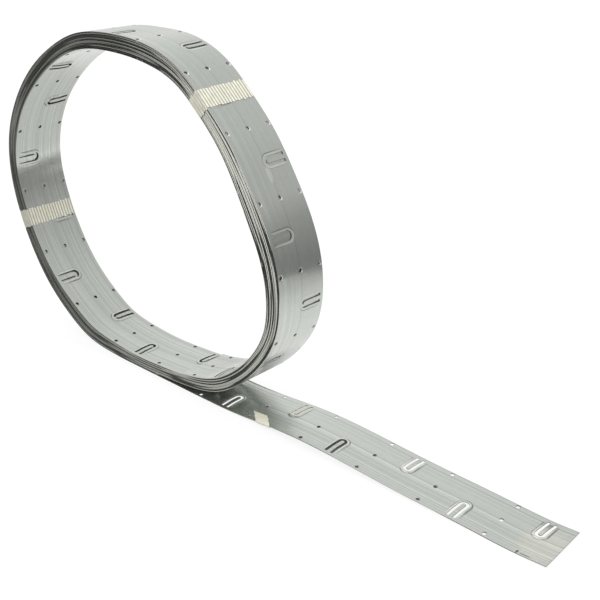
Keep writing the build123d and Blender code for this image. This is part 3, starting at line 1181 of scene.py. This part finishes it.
class COIL_OT_stage(Operator):
    """Sets up the camera, a pale floor, even light from all round, a soft lamp and cards that paint
    reflections and shadows seen only in reflections.
    """

    bl_idname = "coil.stage"
    bl_label = "Set stage"

    def execute(self, context):
        scene = context.scene
        stage = scene.coil_stage
        self.camera(scene, stage)
        self.sky(scene, stage)
        self.floor(scene, stage)
        for name, (corners, way, reach, glow) in CARDS.items():
            self.card(scene, name, corners, way, reach, glow)
        self.lamp(scene, stage)
        scene.view_settings.view_transform = "Standard"
        return {"FINISHED"}

    def camera(self, scene, stage):
        """A camera that stands at its place and looks along its azimuth and elevation."""
        azimuth, elevation = stage.camera_azimuth, stage.camera_elevation
        level = math.cos(elevation)
        back = Vector((math.sin(azimuth) * level, -math.cos(azimuth) * level, math.sin(elevation)))
        right = Vector((0, 0, 1)).cross(back).normalized()
        up = back.cross(right)
        camera = bpy.data.objects.new("camera", bpy.data.cameras.new("camera"))
        camera.data.lens = stage.lens
        camera.data.clip_start = 0.01
        turn = Matrix((right, up, back)).transposed().to_4x4()
        camera.matrix_world = Matrix.Translation(stage.camera_place) @ turn
        scene.collection.objects.link(camera)
        scene.camera = camera

    def sky(self, scene, stage):
        """White behind the coil, even light on it, and a studio in its reflections.

        The reflected studio is brightest low on the left and fades to a dim horizon on the right.
        """
        world = bpy.data.worlds.new("studio")
        world.use_nodes = True
        tree = world.node_tree
        add = node_adder(tree)
        toward = add("ShaderNodeTexCoord").outputs["Generated"]
        height = add("ShaderNodeSeparateXYZ", Vector=toward).outputs[2]
        leftward = maths(add, "MAXIMUM", along_way(add, toward, (-0.77, 0.63, 0)), 0.0)
        studio = maths(add, "MULTIPLY", maths(add, "POWER", leftward, 4.0), 0.46)
        for reach, to in (
            ((0.12, 0.25), (0.35, 0.51)),
            ((0.25, 0.56), (0.0, 0.09)),
            ((0.5, 1.0), (0.0, 0.18)),
        ):
            studio = maths(add, "ADD", studio, ranged(add, height, reach, to))
        path = add("ShaderNodeLightPath").outputs
        direct = maths(add, "MAXIMUM", path["Is Camera Ray"], path["Is Transmission Ray"])
        plain = ranged(add, direct, (0.0, 1.0), (stage.sky_light, 1.0))
        strength = add("ShaderNodeMix", _0=path["Is Glossy Ray"], _2=plain, _3=studio).outputs[0]
        tree.links.new(strength, tree.nodes["Background"].inputs["Strength"])
        tree.nodes["Background"].inputs["Color"].default_value = WHITE
        scene.world = world

    def floor(self, scene, stage):
        """A wide square that mostly glows, so that shadows on it stay pale, with a painted shadow under the
        arch of the tail.
        """
        half, height = 4.0, cad_low.z - 0.1 * MM
        corners = [(half * x, half * y, height) for x, y in ((-1, -1), (1, -1), (1, 1), (-1, 1))]
        mesh = bpy.data.meshes.new("floor")
        mesh.from_pydata(corners, [], [(0, 1, 2, 3)])
        material, shader, tree, add = new_material("pale_floor")
        shade = 1 - stage.floor_white
        shader.inputs["Base Color"].default_value = (shade, shade, shade, 1)
        shader.inputs["Roughness"].default_value = 1.0
        shader.inputs["Specular IOR Level"].default_value = 0.0
        shader.inputs["Emission Color"].default_value = WHITE
        path = add("ShaderNodeLightPath").outputs
        seen = maths(add, "MAXIMUM", path["Is Camera Ray"], path["Is Glossy Ray"])
        seen = maths(add, "MAXIMUM", seen, path["Is Transmission Ray"])
        # The floor's glow drops to a painted shadow under the tail.
        white = ranged(add, self.painted_shadow_under_tail(add), (0.0, 1.0), (stage.floor_white, 0.04))
        tree.links.new(maths(add, "MULTIPLY", seen, white), shader.inputs["Emission Strength"])
        mesh.materials.append(material)
        floor = bpy.data.objects.new("floor", mesh)
        scene.collection.objects.link(floor)

    def painted_shadow_under_tail(self, add):
        """Output that is 1 where a painted shadow lies on the floor under the arch of the tail, where little
        light reaches.

        It has soft ends along the tail. Its near limit rises and falls along it, and its far limit falls.
        """
        spot = add("ShaderNodeSeparateXYZ", Vector=add("ShaderNodeTexCoord").outputs["Object"]).outputs
        start = ranged(add, spot[0], (0.1, 0.115), (0.0, 1.0))
        stop = ranged(add, spot[0], (0.268, 0.285), (1.0, 0.0))
        rising = ranged(add, spot[0], (0.1, 0.16), (-0.02, -0.015))
        falling = ranged(add, spot[0], (0.17, 0.27), (-0.0145, -0.0185))
        near_limit = maths(add, "MINIMUM", rising, falling)
        far_limit = ranged(add, spot[0], (0.17, 0.24), (0.009, 0.003))
        soft = (0.0, 2 * MM)
        near = ranged(add, maths(add, "SUBTRACT", spot[1], near_limit), soft, (0.0, 1.0))
        far = ranged(add, maths(add, "SUBTRACT", spot[1], far_limit), soft, (1.0, 0.0))
        along = maths(add, "MULTIPLY", start, stop)
        across = maths(add, "MULTIPLY", near, far)
        return maths(add, "MULTIPLY", along, across)

    def card(self, scene, name, corners, way, reach, glow):
        """A card that only reflections show, with a glow that changes along a way: a painted reflection or
        painted shadow.
        """
        mesh = bpy.data.meshes.new(name)
        mesh.from_pydata(corners, [], [tuple(range(len(corners)))])
        material, shader, tree, add = new_material(name)
        place = along_way(add, add("ShaderNodeTexCoord").outputs["Object"], way)
        tree.links.new(ranged(add, place, reach, glow), shader.inputs["Emission Strength"])
        shader.inputs["Emission Color"].default_value = WHITE
        shader.inputs["Base Color"].default_value = BLACK
        shader.inputs["Specular IOR Level"].default_value = 0.0
        mesh.materials.append(material)
        card = bpy.data.objects.new(name, mesh)
        scene.collection.objects.link(card)
        card.visible_camera = False
        card.visible_diffuse = False
        card.visible_shadow = False

    def lamp(self, scene, stage):
        """A wide soft lamp overhead that no reflection shows."""
        light = bpy.data.lights.new("soft_lamp", "AREA")
        light.shape = "SQUARE"
        light.size = stage.lamp_size
        light.energy = stage.lamp_power
        lamp = bpy.data.objects.new("soft_lamp", light)
        place = Vector(stage.lamp_place)
        turn = (Vector(stage.lamp_aim) - place).to_track_quat("-Z", "Y").to_matrix().to_4x4()
        lamp.matrix_world = Matrix.Translation(place) @ turn
        lamp.visible_glossy = False
        scene.collection.objects.link(lamp)


class COIL_PT_panel(Panel):
    """Lists the coil's sizes and pieces in the sidebar."""

    bl_idname = "COIL_PT_panel"
    bl_label = "Coil of fixing strip"
    bl_space_type = "VIEW_3D"
    bl_region_type = "UI"
    bl_category = "Coil"

    def draw(self, context):
        for label in GROUPS:
            group = getattr(context.scene, label)
            box = self.layout.box()
            for setting in group.__annotations__:
                box.prop(group, setting)
        for operator in OPERATORS:
            self.layout.operator(operator.bl_idname)


GROUPS = {
    "coil_strip": StripSettings,
    "coil_tape": TapeSettings,
    "coil_finish": FinishSettings,
    "coil_stage": StageSettings,
}
OPERATORS = (COIL_OT_strip, COIL_OT_tape_bands, COIL_OT_tape_scrap, COIL_OT_stage)
CLASSES = (*GROUPS.values(), *OPERATORS, COIL_PT_panel)


def register():
    """Registers the classes and puts their settings on the scene."""
    for cls in CLASSES:
        bpy.utils.register_class(cls)
    for label, group in GROUPS.items():
        setattr(bpy.types.Scene, label, PointerProperty(type=group))


def unregister():
    """Takes the settings off the scene and the classes out of the register."""
    for label in GROUPS:
        delattr(bpy.types.Scene, label)
    for cls in reversed(CLASSES):
        bpy.utils.unregister_class(cls)


def main():
    """Builds the coil and its stage."""
    register()
    bpy.ops.coil.strip()
    bpy.ops.coil.tape_bands()
    bpy.ops.coil.tape_scrap()
    bpy.ops.coil.stage()


if __name__ == "__main__":
    main()
